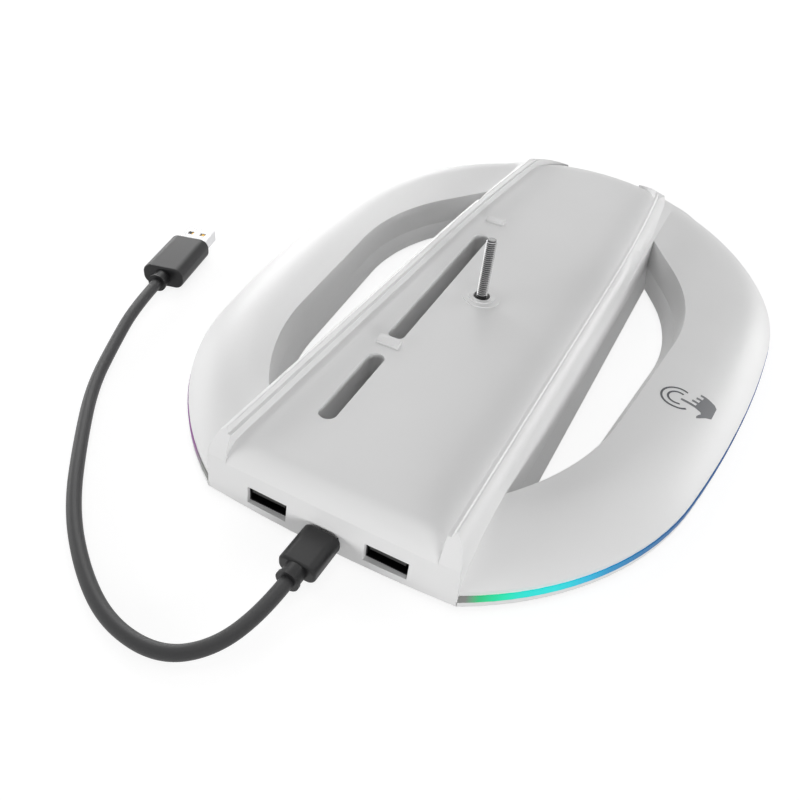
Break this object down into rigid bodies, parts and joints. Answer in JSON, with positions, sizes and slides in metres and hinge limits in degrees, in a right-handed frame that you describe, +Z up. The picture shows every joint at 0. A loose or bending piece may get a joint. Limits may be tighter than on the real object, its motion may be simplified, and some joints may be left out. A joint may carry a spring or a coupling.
{
  "type": "vertical console stand",
  "caption": "Low oval stand with open ring wings, a railed platform with a fastening screw, a glowing rim, front sockets and a short lead.",
  "frame": {"origin": "middle of the stand's plan on the ground, under its feet", "axes": "+X to the right, +Y from the socket face to the back, +Z up"},
  "size_m": [0.2398, 0.3358, 0.0441],
  "materials": {
    "white_housing": "satin moulded",
    "light_guide": "frosted, lit from behind",
    "flex_board": "white coated strip",
    "lamp_resin": "cast resin",
    "green_board": "solder mask",
    "black_epoxy": "moulded",
    "ceramic": "fired",
    "nickel_steel": "nickel plated",
    "socket_plastic": "moulded",
    "screw_steel": "zinc plated",
    "foot_rubber": "matte",
    "cable_jacket": "smooth matte",
    "touch_copper": "bare foil",
    "contact_gold": "plated"
  },
  "bodies": {
    "stand": {"upper_housing": "white_housing", "base_cover": "white_housing", "light_guide_right": "light_guide", "light_guide_left": "light_guide", "lamp_strip_right": "flex_board", "lamp_strip_left": "flex_board", "lamps_right": "lamp_resin", "lamps_left": "lamp_resin", "touch_foil": "touch_copper", "main_board": "green_board", "board_screws": "nickel_steel", "hub_chip": "black_epoxy", "crystal": "nickel_steel", "capacitors": "ceramic", "usb_a_port_left": "nickel_steel", "usb_a_port_right": "nickel_steel", "usb_a_tongue_left": "socket_plastic", "usb_a_tongue_right": "socket_plastic", "usb_c_port": "nickel_steel", "usb_c_tongue": "socket_plastic", "cover_screws": "screw_steel", "foot_front_right": "foot_rubber", "foot_side_right": "foot_rubber", "foot_rear_right": "foot_rubber", "foot_front_left": "foot_rubber", "foot_side_left": "foot_rubber", "foot_rear_left": "foot_rubber", "usb_c_plug_shell": "nickel_steel", "usb_c_overmould": "cable_jacket", "cord": "cable_jacket", "usb_a_overmould": "cable_jacket", "usb_a_plug_shell": "nickel_steel", "usb_a_plug_tongue": "socket_plastic", "usb_a_plug_contacts": "contact_gold"},
    "screw": {"fastening_screw": "screw_steel"}
  },
  "joints": [
    {"name": "screw_turn", "type": "hinge", "parent": "stand", "child": "screw", "pos_m": [-0.0048, -0.02393, 0.02], "axis": [0, 0, 1], "continuous": true}
  ]
}
